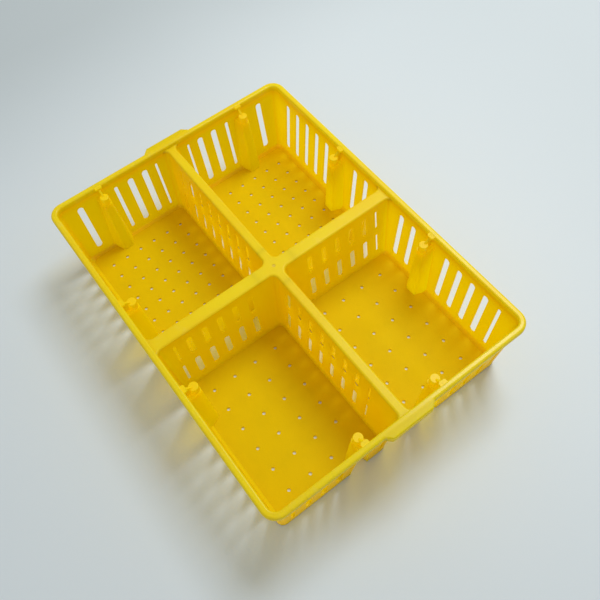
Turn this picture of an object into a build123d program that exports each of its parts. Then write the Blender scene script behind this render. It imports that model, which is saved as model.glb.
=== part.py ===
from build123d import *
import os

# Chick crate: four tapered compartments moulded side by side under one rim.
# X runs along the crate (front end at +X), Y across it, Z up from the table.

# Rim and overall height
rim_length = 626.0
rim_width = 461.0
height = 144.0
lip_width = 10.5
lip_height = 9.0
lip_thickness = 3.0
lip_skirt = 2.4
lip_round = 4.0
mouth_round = 3.0
mouth_corner = 13.0

# Walls and floors
wall = 2.5
floor_thickness = 3.0
floor_edge = 1.5
end_lean = 11.5
side_lean = 9.0
cove = 5.0
divider_cove = 2.0
band_height = 20.0
foot_corner = 9.0
top_corner = 10.0

# Hollow dividers and the caps that close them above
cross_foot_width = 48.0
cross_cap_width = 23.0
long_foot_width = 32.0
long_cap_width = 15.6
cap_drop = 7.0
cap_thickness = 4.0
cap_blunt = 2.5
cap_edge = 3.5
hub_half = 34.0
gate_diameter = 6.0
gate_depth = 0.6

# Slots in the outer walls
slot_pitch = 28.0
wide_slot = 11.0
narrow_slot = 6.5
edge_slot = 4.5
slot_above_floor = 15.0
slot_below_rim = 23.0
slot_land = 1.0
post_slot_gap = 38.8
right_inner_slots = 2
right_outer_slots = 4
left_inner_slots = 1
left_outer_slots = 5
front_outer_slots = 3
rear_edge_slot = 33.0
rear_first_slot = 57.0
rear_wide_slots = 2
rear_corner_slot = 182.0

# Slots in the divider faces: two rows with a bar between them, and a thin slot near the outer wall
divider_slot = 10.0
divider_pitch = 27.6
divider_slot_above_floor = 15.0
divider_slot_below_rim = 23.0
divider_bar = 16.0
divider_bar_above_floor = 60.0
cross_first_slot = 57.8
cross_slot_count = 5
cross_end_slot = 193.0
front_first_slot = 47.0
front_slot_count = 7
front_end_slot = 240.2
rear_long_first_slot = 65.0
rear_slot_count = 7
rear_end_slot = 261.0

# Drain holes in the floors
hole_diameter = 5.5
hole_land = 2.0
coarse_pitch = 40.0
coarse_columns = 6
coarse_rows = 4
fine_pitch = 28.0
fine_columns = 8
fine_rows = 6

# Stacking posts: spacing between the two posts of each wall, then their form
rear_post_spacing = 280.0
front_post_spacing = 138.0
right_post_spacing = 224.0
left_post_spacing = 174.0
post_foot_width = 36.0
post_foot_nose = 20.0
post_foot_depth = 21.0
post_top_width = 19.0
post_top_nose = 16.0
post_round = 5.0
least_round = 1.0
post_roof = 3.0
post_drop = 26.0

# Stacking pegs, with the fin and tab that tie each one to the rim
peg_diameter = 15.0
peg_inset = 26.0
peg_drop = 12.0
peg_edge = 1.2
peg_margin = 0.5
fin_thickness = 3.0
tab_length = 12.0
tab_depth = 5.0
tab_thickness = 3.5
tab_drop = 0.5
tab_round = 3.0

# Grip handles
handle_length = 86.0
handle_reach = 7.8
handle_chamfer = 8.0
handle_corner = 2.5
handle_height = 13.0
handle_wall = 2.4
handle_edge = 2.0

# How far cutting shapes run past what they cut, and how closely edges are matched when picked
overrun = 60.0
closeness = 0.01

# Heights and half sizes that follow from the sizes above
cove_top = floor_thickness + cove
crease_z = height - band_height
wall_top = height - cap_drop - cap_thickness
cap_top = height - cap_drop
post_top = height - post_drop
rim_half_x = rim_length / 2
rim_half_y = rim_width / 2
inner_x = rim_half_x - lip_width
inner_y = rim_half_y - lip_width
foot_x = inner_x - end_lean
foot_y = inner_y - side_lean
rise = (crease_z - cove_top) / (wall_top - cove_top)


def between(low, high, share):
    return low + (high - low) * share


# Each level of a compartment: height, near and far limits in X and Y, corner radii
foot_level = (cove_top, cross_foot_width / 2, foot_x, long_foot_width / 2, foot_y, foot_corner, foot_corner)
base_level = (floor_thickness, *foot_level[1:])
floor_level = (
    floor_thickness,
    cross_foot_width / 2 + divider_cove,
    foot_x - cove,
    long_foot_width / 2 + divider_cove,
    foot_y - cove,
    foot_corner,
    foot_corner,
)
crease_level = (
    crease_z,
    between(cross_foot_width / 2, cross_cap_width / 2, rise),
    inner_x,
    between(long_foot_width / 2, long_cap_width / 2, rise),
    inner_y,
    top_corner,
    mouth_corner,
)
top_level = (wall_top, cross_cap_width / 2, inner_x, long_cap_width / 2, inner_y, top_corner, mouth_corner)


def level_face(level, grow=0.0):
    z, x0, x1, y0, y1, inside, outside = level
    width = x1 - x0 + 2 * grow
    depth = y1 - y0 + 2 * grow
    face = Pos((x0 + x1) / 2, (y0 + y1) / 2, z) * Rectangle(width, depth)
    corners = face.vertices().sort_by(lambda v: v.X + v.Y)
    face = fillet(corners[:3], inside + grow)
    far_corner = face.vertices().sort_by(lambda v: v.X + v.Y)[-1:]
    return fillet(far_corner, outside + grow)


def pocket(lowest, grow=0.0):
    levels = (lowest, foot_level, crease_level, top_level)
    return loft([level_face(level, grow) for level in levels], ruled=True)


def corner_line(x_far, y_far):
    # Plan line through a corner's arc centres at the foot and at the top
    ends = []
    for z, x0, x1, y0, y1, inside, outside in (foot_level, crease_level):
        radius = outside if x_far and y_far else inside
        x = x1 - radius if x_far else x0 + radius
        y = y1 - radius if y_far else y0 + radius
        ends.append(Vector(x, y))
    run = ends[1] - ends[0]
    return ends[0] - run.normalized() * cove, run


def panel_region(first, second):
    start_a, run_a = corner_line(*first)
    start_b, run_b = corner_line(*second)
    past_a = run_a + run_a.normalized() * overrun
    past_b = run_b + run_b.normalized() * overrun
    points = [start_a, start_a + past_a, start_b + past_b, start_b]
    return extrude(make_face(Polyline(*points, close=True)), wall_top)


def slot_cutter(centre, width, low, high, out):
    # Upright slot with round ends, cut square to a wall that runs along X
    reach = max(end_lean, side_lean, cross_foot_width / 2, long_foot_width / 2) + overrun
    shape = extrude(SlotOverall(high - low, width, rotation=90), reach, both=True)
    return Pos(centre, out, (low + high) / 2) * Rot(90, 0, 0) * shape


def swap_xy(part):
    return mirror(part, about=Plane(origin=(0, 0, 0), z_dir=(1, -1, 0)))


def wall_share(z):
    # How far up the leaning part of a wall a height lies, from 0 above the cove to 1 at the crease
    return max(z - cove_top, 0) / (crease_z - cove_top)


def wall_at(foot, top, z):
    return between(foot, top, wall_share(z))


def post_face(z, along, foot, top, rim_half, inset, extra):
    share = max(z - floor_thickness, 0) / (post_top - floor_thickness)
    face_line = wall_at(foot, top, z)
    base_half = between(post_foot_width, post_top_width, share) / 2 - inset
    nose_half = between(post_foot_nose, post_top_nose, share) / 2 - inset
    nose_foot = foot - post_foot_depth
    nose_top = rim_half - peg_inset - peg_diameter / 2 - peg_margin
    nose = between(nose_foot, nose_top, share) + inset
    back = face_line + wall + extra
    points = [
        (along - base_half, back, z),
        (along - base_half, face_line, z),
        (along - nose_half, nose, z),
        (along + nose_half, nose, z),
        (along + base_half, face_line, z),
        (along + base_half, back, z),
    ]
    face = Sketch() + make_face(Polyline(*points, close=True))
    tips = face.vertices().sort_by(Axis.Y)[:2]
    return fillet(tips, max(post_round - inset, least_round))


def post_form(along, foot, top, rim_half, inset=0.0, extra=0.0, roof=0.0):
    levels = [0.0, floor_thickness, cove_top, post_top - roof]
    return loft([post_face(z, along, foot, top, rim_half, inset, extra) for z in levels], ruled=True)


def post(along, foot, top, rim_half):
    form = post_form(along, foot, top, rim_half)
    groove = post_form(along, foot, top, rim_half, inset=wall, extra=wall, roof=post_roof)
    return form - groove


def peg(along, foot, top, rim_half):
    centre = rim_half - peg_inset
    peg_top = height - peg_drop
    head = Pos(along, centre, post_top) * extrude(Circle(peg_diameter / 2), peg_top - post_top)
    head = fillet(head.edges().sort_by(Axis.Z)[-1:], peg_edge)
    tab_top = height - tab_drop
    outline = [
        (centre, post_top),
        (wall_at(foot, top, post_top), post_top),
        (top, crease_z),
        (top, tab_top - tab_thickness),
        (top - tab_depth, tab_top - tab_thickness),
        (centre, peg_top - peg_edge),
    ]
    web = make_face(Polyline(*[(along, v, z) for v, z in outline], close=True))
    fin = extrude(web, fin_thickness / 2, dir=(1, 0, 0), both=True)
    tab_face = Rectangle(tab_length, tab_depth + wall, align=(Align.CENTER, Align.MAX))
    tab_face = Pos(along, top + wall) * tab_face
    tab_face = fillet(tab_face.vertices().sort_by(Axis.Y)[:2], tab_round)
    tab = Pos(0, 0, tab_top - tab_thickness) * extrude(tab_face, tab_thickness)
    return head + fin + tab


def ring_face(grow):
    return RectangleRounded(2 * (inner_x + grow), 2 * (inner_y + grow), mouth_corner + grow)


# Rim: a band on top of the walls and a rounded lip turned down outside it
lip_low = height - lip_height
lip = Pos(0, 0, lip_low) * extrude(ring_face(lip_width), lip_height)
lip = fillet(lip.edges().group_by(Axis.Z)[-1], lip_round)
hollow = Pos(0, 0, lip_low) * extrude(ring_face(lip_width - lip_skirt), lip_height - lip_thickness)
band = Pos(0, 0, wall_top) * extrude(ring_face(wall), height - lip_thickness - wall_top)
opening = Pos(0, 0, wall_top) * extrude(ring_face(0), height)
rim = lip - hollow + band - opening


def on_mouth(edge):
    if edge.geom_type == GeomType.CIRCLE:
        return abs(edge.radius - mouth_corner) < closeness
    middle = edge @ 0.5
    return abs(abs(middle.X) - inner_x) < closeness or abs(abs(middle.Y) - inner_y) < closeness


rim = fillet([e for e in rim.edges().group_by(Axis.Z)[-1] if on_mouth(e)], mouth_round)


# The compartment shell in the corner where X and Y are positive, cut into its four walls
shell = pocket(base_level, wall) - pocket(floor_level)
near_near = (False, False)
near_far = (False, True)
far_near = (True, False)
far_far = (True, True)
side_wall = shell & panel_region(near_far, far_far)
end_wall = shell & panel_region(far_far, far_near)
long_face = shell & panel_region(far_near, near_near)
cross_face = shell & panel_region(near_near, near_far)

slot_low = floor_thickness + slot_above_floor
slot_high = height - slot_below_rim
divider_low = floor_thickness + divider_slot_above_floor
divider_high = height - divider_slot_below_rim
bar_low = floor_thickness + divider_bar_above_floor
wall_bands = [(slot_low, slot_high)]
divider_bands = [(divider_low, bar_low), (bar_low + divider_bar, divider_high)]


def flat_span(near, far, z):
    # Where a wall is flat between its two rounded corners, at a given height
    share = wall_share(z)
    start = between(foot_level[near], crease_level[near], share) + between(foot_corner, top_corner, share)
    end = between(foot_level[far], crease_level[far], share) - between(foot_corner, mouth_corner, share)
    return start + slot_land, end - slot_land


def post_row(post_place, inner, outer, corner_slot, inner_narrow=False):
    # Wide slots on both sides of a post, one every pitch, and one of its own width by the outer corner
    near = post_place - post_slot_gap
    far = post_place + post_slot_gap
    row = [(near - i * slot_pitch, wide_slot) for i in range(inner)]
    if inner_narrow:
        row.append((near - inner * slot_pitch, narrow_slot))
    row += [(far + i * slot_pitch, wide_slot) for i in range(outer)]
    row.append((far + outer * slot_pitch, corner_slot))
    return row


def rear_row():
    # Wide slots between a thin one by the divider and a narrow one by the post, and one by the corner
    row = [(rear_edge_slot, edge_slot)]
    row += [(rear_first_slot + i * slot_pitch, wide_slot) for i in range(rear_wide_slots)]
    row.append((rear_first_slot + rear_wide_slots * slot_pitch, narrow_slot))
    row.append((rear_corner_slot, wide_slot))
    return row


def fitted(row, span, post_place):
    # The slots of a row that lie on the flat of the wall and clear of its post
    reach = post_foot_width / 2 + slot_land
    kept = []
    for centre, width in row:
        inside = centre - width / 2 > span[0] and centre + width / 2 < span[1]
        if inside and abs(centre - post_place) > reach + width / 2:
            kept.append((centre, width))
    return kept


def divider_row(first, count, end_slot, span):
    # One slot every pitch from the first, and a thin one near the outer wall, as far as the face is flat
    row = [(first + i * divider_pitch, divider_slot) for i in range(count)]
    row.append((end_slot, edge_slot))
    return [(c, width) for c, width in row if c - width / 2 > span[0] and c + width / 2 < span[1]]


def slotted(panel, row, bands, out, turned=False):
    cutters = [slot_cutter(centre, width, low, high, out) for centre, width in row for low, high in bands]
    if turned:
        cutters = [swap_xy(cutter) for cutter in cutters]
    return panel - cutters


def hole_grid(columns, rows, pitch, side_place, end_place):
    # The holes of a grid centred on the floor that lie on its flat and clear of the two posts
    z, x0, x1, y0, y1, inside, outside = floor_level
    edge = hole_diameter / 2 + hole_land
    reach = post_foot_width / 2 + edge
    drill = extrude(Circle(hole_diameter / 2), floor_thickness * 2, both=True)
    drills = []
    for place in Pos((x0 + x1) / 2, (y0 + y1) / 2) * GridLocations(pitch, pitch, columns, rows):
        x = place.position.X
        y = place.position.Y
        on_floor = x0 + edge < x < x1 - edge and y0 + edge < y < y1 - edge
        at_side_post = abs(x - side_place) < reach and y > foot_y - post_foot_depth - edge
        at_end_post = abs(y - end_place) < reach and x > foot_x - post_foot_depth - edge
        if on_floor and not at_side_post and not at_end_post:
            drills.append(place * drill)
    return drills


floor_plate = extrude(Pos(0, 0, -floor_thickness) * level_face(base_level, wall), floor_thickness)
floor_plate = fillet(floor_plate.edges().group_by(Axis.Z)[0], floor_edge)

side_span = flat_span(1, 2, slot_low)
end_span = flat_span(3, 4, slot_low)
long_span = flat_span(1, 2, divider_low)
cross_span = flat_span(3, 4, divider_low)
side_post_place = {"right": right_post_spacing / 2, "left": left_post_spacing / 2}
end_post_place = {"front": front_post_spacing / 2, "rear": rear_post_spacing / 2}
side_counts = {
    "right": (right_inner_slots, right_outer_slots),
    "left": (left_inner_slots, left_outer_slots),
}
side_corner_slot = {"front": narrow_slot, "rear": wide_slot}
end_rows = {
    "front": post_row(end_post_place["front"], 0, front_outer_slots, narrow_slot, inner_narrow=True),
    "rear": rear_row(),
}
long_rows = {
    "front": divider_row(front_first_slot, front_slot_count, front_end_slot, long_span),
    "rear": divider_row(rear_long_first_slot, rear_slot_count, rear_end_slot, long_span),
}
cross_row = divider_row(cross_first_slot, cross_slot_count, cross_end_slot, cross_span)
grids = {
    "front": (coarse_columns, coarse_rows, coarse_pitch),
    "rear": (fine_columns, fine_rows, fine_pitch),
}

pieces = {}
for end in ("front", "rear"):
    for side in ("left", "right"):
        side_place = side_post_place[side]
        end_place = end_post_place[end]
        side_size = (side_place, foot_y, inner_y, rim_half_y)
        end_size = (end_place, foot_x, inner_x, rim_half_x)
        side_cut = post_form(*side_size, extra=wall)
        end_cut = swap_xy(post_form(*end_size, extra=wall))
        side_row = post_row(side_place, *side_counts[side], side_corner_slot[end])
        side_row = fitted(side_row, side_span, side_place)
        end_row = fitted(end_rows[end], end_span, end_place)
        made = {
            "floor": floor_plate - [side_cut, end_cut] - hole_grid(*grids[end], side_place, end_place),
            "side_wall": slotted(side_wall - side_cut, side_row, wall_bands, inner_y),
            "end_wall": slotted(end_wall - end_cut, end_row, wall_bands, inner_x, turned=True),
            "long_divider": slotted(long_face, long_rows[end], divider_bands, 0),
            "cross_divider": slotted(cross_face, cross_row, divider_bands, 0, turned=True),
            "side_post": post(*side_size),
            "end_post": swap_xy(post(*end_size)),
            "side_peg": peg(*side_size) - rim,
            "end_peg": swap_xy(peg(*end_size)) - rim,
        }
        for kind, piece in made.items():
            if end == "rear":
                piece = mirror(piece, about=Plane.YZ)
            if side == "left":
                piece = mirror(piece, about=Plane.XZ)
            pieces[f"{kind}_{end}_{side}"] = piece


def at_band(edge):
    middle = edge @ 0.5
    return abs(middle.X) > inner_x - cap_blunt or abs(middle.Y) > inner_y - cap_blunt


# Caps over the dividers: one cross with rounded inner corners, cut into a hub and four arms
blunt = top_corner - cap_blunt
bars = Rectangle(2 * inner_x, long_cap_width + 2 * blunt) + Rectangle(cross_cap_width + 2 * blunt, 2 * inner_y)
mouth = extrude(level_face(top_level), cap_thickness)
mouths = [mouth, mirror(mouth, about=Plane.YZ), mirror(mouth, about=Plane.XZ)]
mouths.append(mirror(mouths[1], about=Plane.XZ))
caps = Pos(0, 0, wall_top) * extrude(bars, cap_thickness) - mouths
cap_rims = [e for e in caps.edges().group_by(Axis.Z)[-1] if not at_band(e)]
caps = fillet(cap_rims, cap_edge)
hub_box = Pos(0, 0, wall_top) * Box(2 * hub_half, 2 * hub_half, 4 * cap_thickness)
gate = Pos(0, 0, cap_top) * Cylinder(gate_diameter / 2, 2 * gate_depth)
pieces["cap_hub"] = (caps & hub_box) - gate
arms = (caps - hub_box).solids()
pieces["cap_front"] = arms.sort_by(Axis.X)[-1]
pieces["cap_rear"] = arms.sort_by(Axis.X)[0]
pieces["cap_right"] = arms.sort_by(Axis.Y)[-1]
pieces["cap_left"] = arms.sort_by(Axis.Y)[0]


def rail_region(turned):
    # The part of the plan that belongs to one rail, between the mitres at its two corners
    along = (inner_y if turned else inner_x) - mouth_corner
    out = (inner_x if turned else inner_y) - mouth_corner
    reach = mouth_corner + lip_width + overrun
    points = [(-along, out), (-along - reach, out + reach), (along + reach, out + reach), (along, out)]
    region = extrude(make_face(Polyline(*points, close=True)), height * 2)
    return swap_xy(region) if turned else region


right_rail = rim & rail_region(False)
front_rail = rim & rail_region(True)
pieces["rim_right"] = right_rail
pieces["rim_left"] = mirror(right_rail, about=Plane.XZ)
pieces["rim_front"] = front_rail
pieces["rim_rear"] = mirror(front_rail, about=Plane.YZ)


def handle_plan(inset):
    half = handle_length / 2 - inset
    tip = half - handle_chamfer
    far = rim_half_x + handle_reach - inset
    points = [(rim_half_x, -half), (far, -tip), (far, tip), (rim_half_x, half)]
    face = Sketch() + make_face(Polyline(*points, close=True))
    return fillet(face.vertices().sort_by(Axis.X)[-2:], max(handle_corner - inset, handle_corner / 2))


# Handle: a hollow lip that widens the rim, filled up to the rim's rounded edge
handle_low = height - handle_height
grip = Pos(0, 0, handle_low) * extrude(handle_plan(0), handle_height)
grip_edges = [e for e in grip.edges().group_by(Axis.Z)[-1] if (e @ 0.5).X > rim_half_x + closeness]
grip = fillet(grip_edges, handle_edge)
grip -= Pos(0, 0, handle_low) * extrude(handle_plan(handle_wall), handle_height - lip_thickness)
filler_size = (lip_round, handle_length, lip_thickness)
filler = Pos(rim_half_x, 0, height) * Box(*filler_size, align=(Align.MAX, Align.CENTER, Align.MAX))
front_handle = grip + (filler - rim)
pieces["handle_front"] = front_handle
pieces["handle_rear"] = mirror(front_handle, about=Plane.YZ)

os.makedirs("parts", exist_ok=True)
for name, piece in pieces.items():
    export_step(piece, f"parts/{name}.step")
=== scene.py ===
import math
import bpy
from mathutils import Euler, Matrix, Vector


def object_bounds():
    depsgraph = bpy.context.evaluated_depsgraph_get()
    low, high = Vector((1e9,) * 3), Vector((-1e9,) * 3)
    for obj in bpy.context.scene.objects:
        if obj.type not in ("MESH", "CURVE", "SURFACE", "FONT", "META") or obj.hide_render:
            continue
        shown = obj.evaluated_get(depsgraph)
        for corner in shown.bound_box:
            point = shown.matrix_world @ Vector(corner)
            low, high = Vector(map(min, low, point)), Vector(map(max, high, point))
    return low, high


# Chick crate: one yellow moulding with four compartments, standing on a pale table.
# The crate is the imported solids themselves; this script gives them their plastic, the table and the light.

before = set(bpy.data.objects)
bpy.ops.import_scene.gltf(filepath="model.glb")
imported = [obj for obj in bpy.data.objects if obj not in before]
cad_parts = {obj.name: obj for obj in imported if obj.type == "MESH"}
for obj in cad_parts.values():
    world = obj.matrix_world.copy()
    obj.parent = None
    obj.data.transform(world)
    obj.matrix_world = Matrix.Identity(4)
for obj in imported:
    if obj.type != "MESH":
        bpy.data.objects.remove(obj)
solid_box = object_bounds()
scene = bpy.context.scene
scene.view_settings.view_transform = "Standard"

# Heights at which the walls change, in metres: the crease under their plain band, which gets painted shade,
# and their rounded foot, which gets painted light
band_height = 0.020
crease = solid_box[1].z - band_height
crease_blur = 0.0015
foot_low = 0.004
foot_high = 0.016

# The round mark where the plastic entered the mould, at the middle of the hub
gate_radius = 0.0024
gate_rim = 0.0008

# Colours of the plastic, of the light that it lets through, of the painted shade and painted light on its
# walls, and of what lies on it
lemon = (0.97, 0.78, 0.004, 1.0)
cap_lemon = (0.88, 0.72, 0.006, 1.0)
handle_lemon = (0.80, 0.66, 0.006, 1.0)
deep_lemon = (0.88, 0.53, 0.002, 1.0)
floor_lemon = (0.775, 0.545, 0.001, 1.0)
foot_painted_light = (1.0, 0.87, 0.006, 1.0)
band_painted_shade = (0.92, 0.62, 0.002, 1.0)
wall_glow = (1.0, 0.87, 0.005, 1.0)
floor_glow = (1.0, 0.84, 0.005, 1.0)
glow = (1.0, 0.95, 0.005, 1.0)
shade_tint = (0.97, 0.80, 0.08, 1.0)
pale_scuff = (0.86, 0.73, 0.14, 1.0)
floor_dust = (0.64, 0.46, 0.004, 1.0)
gate_grey = (0.62, 0.46, 0.12, 1.0)

# How fine each pattern in the plastic is, as the scale of its noise
cloud_scale = 9.0
flow_scale = 160.0
grain_scale = 1100.0
speck_scale = 420.0
film_scale = 26.0
rub_scale = 55.0
scratch_scale = 900.0
noise_roughness = 0.55

# Levels of the noise between which each pattern comes in
cloud_levels = (0.35, 0.7)
speck_levels = (0.66, 0.74)
film_levels = (0.45, 0.75)
rub_levels = (0.56, 0.72)
scratch_levels = (0.68, 0.78)

# Depth of each relief in metres, and how strongly it shows
grain_relief = (0.00012, 0.35)
flow_relief = (0.0004, 0.1)
gate_relief = (-0.0006, 0.8)

# Shares of the deep pigment, of the colours that lie over the pigment, and of the painted shade on the band
# and the painted light at the foot
cloud_share = 0.3
flow_share = 0.1
least_share = 0.05
band_shade_share = 0.15
foot_light_share = 0.7
speck_share = 0.35
film_share = 0.22
rub_share = 0.5
scratch_share = 0.4
gate_share = 0.6

# What each pattern adds to the roughness, and how much of a wall's glow is left at its foot
cloud_dulling = 0.05
flow_dulling = 0.06
dust_dulling = 0.25
wear_dulling = 0.2
foot_glow = 0.8

# Which way the plastic was drawn along each piece, and rubbed or scratched since
evenly = (1.0, 1.0, 1.0)
upright = (1.0, 1.0, 0.06)
lengthwise = (0.06, 1.0, 1.0)
crosswise = (1.0, 0.06, 1.0)
flatwise = (0.3, 0.3, 1.0)
rubbed = (1.0, 1.0, 0.3)
scratched = (0.05, 1.0, 1.0)

# The table: its size in metres, its paint, and the painted shade that makes it greyer behind the crate and to
# its right
table_size = 16.0
table_pale = (0.68, 0.743, 0.767, 1.0)
table_painted_shade = (0.51, 0.563, 0.573, 1.0)
table_roughness = 0.55
shade_behind = (0.4, 0.95)
shade_right = (0.25, 0.85)
right_shade_share = 0.35
paint_scale = 3.0
paint_share = 0.1

# The light in the room, and the wall behind the table
window_place = Vector((-0.47, 1.42, 2.63))
window_size = 1.2
window_power = 54.5
window_light = (1.0, 0.99, 0.97)
room_light = (0.93, 0.97, 1.0, 1.0)
room_strength = 0.44
room_wall = (0.66, 0.71, 0.73, 1.0)

# The photograph's viewpoint: place in metres, turn in degrees, lens and sensor in millimetres
view_place = (0.50074, -0.26707, 1.04425)
view_turn = (28.8054, 3.0203, 53.0050)
view_lens = 41.961
view_sensor = 36.0

# Sockets of a Mix node that blends colours
first_colour = 6
second_colour = 7
colour_out = 2


class Shade:
    """One value in a finish. Arithmetic on it adds Math nodes."""

    def __init__(self, finish, socket):
        self.finish = finish
        self.socket = socket

    def maths(self, operation, *values, clamp=False):
        settings = {"operation": operation, "use_clamp": clamp}
        return self.finish.node("ShaderNodeMath", settings, dict(enumerate(values)))

    def __add__(self, other):
        return self.maths("ADD", self, other)

    def __radd__(self, other):
        return self.maths("ADD", other, self)

    def __sub__(self, other):
        return self.maths("SUBTRACT", self, other)

    def __rsub__(self, other):
        return self.maths("SUBTRACT", other, self)

    def __mul__(self, other):
        return self.maths("MULTIPLY", self, other)

    def __rmul__(self, other):
        return self.maths("MULTIPLY", other, self)

    def __pow__(self, other):
        return self.maths("POWER", self, other)

    def __rpow__(self, other):
        return self.maths("POWER", other, self)

    def clamped(self):
        return self.maths("ADD", self, 0.0, clamp=True)


class Nodes:
    """A tree whose nodes are added one at a time from code."""

    def __init__(self, tree):
        self.tree = tree

    def feed(self, socket, value):
        if isinstance(value, Shade):
            self.tree.links.new(value.socket, socket)
        else:
            socket.default_value = value

    def node(self, kind, settings=None, inputs=None, output=0):
        made = self.tree.nodes.new(kind)
        for name, value in (settings or {}).items():
            setattr(made, name, value)
        for key, value in (inputs or {}).items():
            self.feed(made.inputs[key], value)
        return Shade(self, made.outputs[output])

    def ray(self, kind):
        return self.node("ShaderNodeLightPath", output=f"Is {kind} Ray")

    def mixed(self, share, first, second):
        return self.node("ShaderNodeMixShader", inputs={0: share, 1: first, 2: second})

    def show(self, shader, output="Material Output"):
        self.feed(self.tree.nodes[output].inputs["Surface"], shader)


class Finish(Nodes):
    """A material, with what its patterns are made of."""

    def __init__(self, name):
        self.material = bpy.data.materials.new(name)
        self.material.use_nodes = True
        super().__init__(self.material.node_tree)
        self.shader = self.tree.nodes["Principled BSDF"]

    def surface(self, **inputs):
        for key, value in inputs.items():
            self.feed(self.shader.inputs[key.replace("_", " ")], value)
        return Shade(self, self.shader.outputs["BSDF"])

    def place(self):
        return self.node("ShaderNodeTexCoord", output="Object")

    def axes(self):
        parts = self.node("ShaderNodeSeparateXYZ", inputs={"Vector": self.place()}).socket.node
        return [Shade(self, socket) for socket in parts.outputs]

    def clouds(self, scale, detail, stretch=evenly):
        mapped = self.node("ShaderNodeMapping", inputs={"Vector": self.place(), "Scale": stretch})
        settings = {"Vector": mapped, "Scale": scale, "Detail": detail, "Roughness": noise_roughness}
        return self.node("ShaderNodeTexNoise", inputs=settings)

    def step(self, value, low, high):
        ranges = {"Value": value, "From Min": low, "From Max": high, "To Min": 0.0, "To Max": 1.0}
        return self.node("ShaderNodeMapRange", {"interpolation_type": "SMOOTHSTEP"}, ranges)

    def blend(self, share, first, second):
        colours = {"Factor": share, first_colour: first, second_colour: second}
        return self.node("ShaderNodeMix", {"data_type": "RGBA"}, colours, output=colour_out)

    def bump(self, height, depth, strength, under=None):
        inputs = {"Height": height, "Distance": depth, "Strength": strength}
        if under is not None:
            inputs["Normal"] = under
        return self.node("ShaderNodeBump", inputs=inputs)


def dimmed(colour, share):
    """A share of a colour's light."""
    return tuple(share * light for light in colour[:3]) + (1.0,)


def plastic(name, rough, shine, thin, passing, depth=0.0, draw=evenly, fair=lemon, deep=deep_lemon,
            inner=glow, walled=False, band=False, dusty=False, gated=False, scuffed=0.0):
    """Moulded plastic that light shines through: clouded pigment, drawn flow marks, fine grain, and its wear;
    painted shade on the band under the rim, and painted light at the foot.

    thin is the share of light that comes through the wall, in the colour inner, and passing the share
    that reaches into its shadow. fair and deep are its pigments, and depth the share of the deep one.
    """
    finish = Finish(name)
    x, y, z = finish.axes()
    cloud = finish.step(finish.clouds(cloud_scale, detail=2.0), *cloud_levels)
    flow = finish.clouds(flow_scale, detail=2.0, stretch=draw)
    pigment = cloud * cloud_share + flow * flow_share + least_share + depth
    colour = finish.blend(pigment.clamped(), fair, deep)
    rough = rough + cloud * cloud_dulling + flow * flow_dulling
    grain = finish.bump(finish.clouds(grain_scale, detail=2.0), *grain_relief)
    relief = finish.bump(flow, *flow_relief, under=grain)
    if band:
        # Painted shade: from the crease up to the rim the walls are painted a darker amber, as if shaded by
        # the rim over them.
        above = finish.step(z, crease - crease_blur, crease + crease_blur)
        colour = finish.blend(above * band_shade_share, colour, band_painted_shade)
    if walled:
        raised = finish.step(z, foot_low, foot_high)
        # Painted light: near the foot the walls are painted paler than their plastic, making up for the shade
        # in the cove.
        colour = finish.blend((1 - raised) * foot_light_share, colour, foot_painted_light)
        thin = (raised * (1 - foot_glow) + foot_glow) * thin
    if dusty:
        speck = finish.step(finish.clouds(speck_scale, detail=1.0), *speck_levels)
        film = finish.step(finish.clouds(film_scale, detail=4.0), *film_levels)
        dust = (speck * speck_share + film * film_share).clamped()
        colour = finish.blend(dust, colour, floor_dust)
        rough = rough + dust * dust_dulling
    if scuffed:
        rub = finish.step(finish.clouds(rub_scale, detail=6.0, stretch=rubbed), *rub_levels)
        scratch = finish.step(finish.clouds(scratch_scale, detail=1.0, stretch=scratched), *scratch_levels)
        wear = (rub * rub_share + scratch * scratch_share).clamped() * scuffed
        colour = finish.blend(wear, colour, pale_scuff)
        rough = rough + wear * wear_dulling
    if gated:
        from_middle = (x * x + y * y) ** 0.5
        mark = 1 - finish.step(from_middle, gate_radius, gate_radius + gate_rim)
        colour = finish.blend(mark * gate_share, colour, gate_grey)
        relief = finish.bump(mark, *gate_relief, under=relief)
    body = finish.surface(
        Base_Color=colour,
        Roughness=rough.clamped(),
        Normal=relief,
        Specular_IOR_Level=shine,
    )
    through = finish.node("ShaderNodeBsdfTranslucent", inputs={"Color": inner})
    # To a shadow ray the plastic is a tinted clear sheet, so its shadow is yellow and not black
    clear = finish.node("ShaderNodeBsdfTransparent", inputs={"Color": dimmed(shade_tint, passing)})
    finish.show(finish.mixed(finish.ray("Shadow"), finish.mixed(thin, body, through), clear))
    return finish.material


# What pieces of one kind have in common
floor = dict(rough=0.5, shine=0.04, thin=0.2, passing=0.73, depth=0.85, draw=flatwise, dusty=True)
wall = dict(rough=0.33, shine=0.2, depth=0.12, draw=upright, inner=wall_glow, walled=True, band=True)
divider = dict(rough=0.33, shine=0.2, draw=upright, walled=True)
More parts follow.
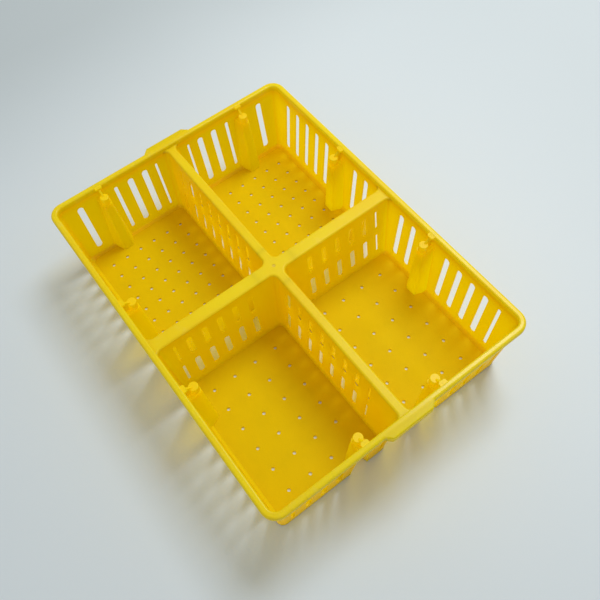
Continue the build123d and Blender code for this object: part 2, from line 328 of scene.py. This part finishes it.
# Posts take less of the deep pigment than the walls: painted light, so that their shaded faces look as pale
# as the walls.
post = dict(rough=0.32, shine=0.2, depth=-0.2, draw=upright, walled=True)
cap = dict(rough=0.31, shine=0.25, thin=0.35, passing=0.58, depth=-0.1, draw=flatwise)
cap.update(fair=cap_lemon, scuffed=0.4)
rim = dict(thin=0.35, depth=-0.15, fair=cap_lemon, scuffed=0.5)
side_rim = dict(rough=0.24, shine=0.3, draw=lengthwise, **rim)
end_rim = dict(rough=0.18, shine=0.34, draw=crosswise, **rim)
side_peg = dict(rough=0.34, shine=0.2, thin=0.42, passing=0.75, depth=-0.05, scuffed=0.5)
end_peg = dict(rough=0.28, shine=0.28, thin=0.4, passing=0.75, depth=-0.1, scuffed=0.8)
handle = dict(rough=0.28, shine=0.2, thin=0.4, passing=0.7, depth=-0.15, draw=crosswise)
handle.update(fair=handle_lemon, scuffed=0.7)

# One wall plastic in three copies: the near walls let less light into their shadows, so their shadows on the
# table are darker, and the walls towards the lamp let more, so the floors they shade are lighter.
near_wall_plastic = plastic("near_wall_plastic", thin=0.5, passing=0.5, **wall)
right_wall_plastic = plastic("right_wall_plastic", thin=0.58, passing=0.78, **wall)
rear_wall_plastic = plastic("rear_wall_plastic", thin=0.68, passing=0.8, **wall)

# The pieces whose names start so, and their plastic; the longest start counts
finishes = {
    "floor": plastic("floor_plastic", deep=floor_lemon, inner=floor_glow, **floor),
    "side_wall_front_left": near_wall_plastic,
    "side_wall_rear_left": near_wall_plastic,
    "end_wall_front": near_wall_plastic,
    "side_wall": right_wall_plastic,
    "end_wall": rear_wall_plastic,
    "long_divider": plastic("long_divider_plastic", thin=0.54, passing=0.74, depth=0.1, **divider),
    "cross_divider": plastic("cross_divider_plastic", thin=0.66, passing=0.72, **divider),
    "side_post": plastic("side_post_plastic", thin=0.66, passing=0.78, **post),
    "end_post": plastic("end_post_plastic", thin=0.58, passing=0.74, fair=cap_lemon, **post),
    "side_peg": plastic("side_peg_plastic", **side_peg),
    "end_peg": plastic("end_peg_plastic", **end_peg),
    "cap": plastic("cap_plastic", **cap),
    "cap_hub": plastic("hub_plastic", gated=True, **cap),
    # The rims towards the lamp let more light into their shadows than the left and front rims; the plastic is
    # the same.
    "rim_left": plastic("left_rim_plastic", passing=0.56, **side_rim),
    "rim_right": plastic("right_rim_plastic", passing=0.78, **side_rim),
    "rim_front": plastic("front_rim_plastic", passing=0.56, **end_rim),
    "rim_rear": plastic("rear_rim_plastic", passing=0.78, **end_rim),
    "handle": plastic("handle_plastic", **handle),
}

for node_name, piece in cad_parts.items():
    kind = max((start for start in finishes if node_name.startswith(start)), key=len)
    piece.data.materials.clear()
    piece.data.materials.append(finishes[kind])


def table_top():
    """A wide pale table, with painted shade that makes it a little greyer further off."""
    bpy.ops.mesh.primitive_plane_add(size=table_size)
    table = bpy.context.object
    table.name = "table_top"
    finish = Finish("table_paint")
    x, y, z = finish.axes()
    # Painted shade: the table is painted greyer behind the crate and to its right.
    painted_shade_far = finish.step(x * -1.0, *shade_behind) + finish.step(y, *shade_right) * right_shade_share
    cloud = finish.clouds(paint_scale, detail=2.0)
    paint = finish.blend((painted_shade_far + cloud * paint_share).clamped(), table_pale, table_painted_shade)
    finish.surface(Base_Color=paint, Roughness=table_roughness)
    table.data.materials.append(finish.material)


def window():
    """One broad lamp, high up over the right side and a little behind."""
    light = bpy.data.lights.new("window", "AREA")
    light.size = window_size
    light.energy = window_power
    light.color = window_light
    lamp = bpy.data.objects.new("window", light)
    lamp.location = window_place
    lamp.rotation_euler = (-window_place).to_track_quat("-Z", "Y").to_euler()
    scene.collection.objects.link(lamp)


def room():
    """Soft light from all round, and a pale wall where the camera and reflections see past the table."""
    sky = bpy.data.worlds.new("room")
    scene.world = sky
    sky.use_nodes = True
    nodes = Nodes(sky.node_tree)
    light = nodes.node("ShaderNodeBackground", inputs={"Color": room_light, "Strength": room_strength})
    wall_behind = nodes.node("ShaderNodeBackground", inputs={"Color": room_wall})
    seen = (nodes.ray("Camera") + nodes.ray("Glossy") + nodes.ray("Transmission")).clamped()
    nodes.show(nodes.mixed(seen, light, wall_behind), "World Output")


def view():
    """The photograph's viewpoint: above the front end, outside the left wall."""
    lens = bpy.data.cameras.new("view")
    lens.sensor_width = view_sensor
    lens.lens = view_lens
    camera = bpy.data.objects.new("view", lens)
    camera.location = view_place
    camera.rotation_euler = Euler([math.radians(turn) for turn in view_turn])
    scene.collection.objects.link(camera)
    scene.camera = camera


table_top()
window()
room()
view()
